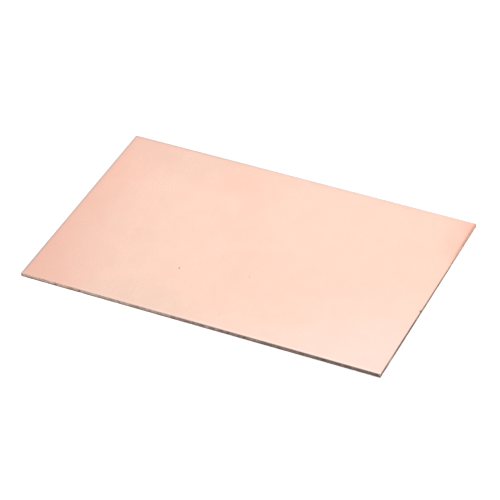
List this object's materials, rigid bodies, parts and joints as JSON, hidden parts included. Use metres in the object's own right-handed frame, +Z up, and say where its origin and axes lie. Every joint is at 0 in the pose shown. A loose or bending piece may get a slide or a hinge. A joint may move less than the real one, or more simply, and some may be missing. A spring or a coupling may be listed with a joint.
{
  "type": "copper clad board",
  "caption": "Blank rectangular sheet of glass-epoxy laminate with copper foil bonded to its upper face, sheared to size, for etching or milling into a circuit board.",
  "frame": {"origin": "centre of the underside, where the bare laminate lies on a surface", "axes": "+X along the board's length, +Y along its width, +Z up through its thickness, towards the copper"},
  "size_m": [0.15, 0.1, 0.0016],
  "materials": {
    "copper_foil": "bare satin copper, slightly tarnished towards the rims",
    "glass_epoxy": "woven glass-epoxy laminate, smooth on its face, rough and copper-smeared where it was sheared"
  },
  "bodies": {
    "root": {"laminate": "glass_epoxy", "copper_foil": "copper_foil"}
  },
  "joints": []
}
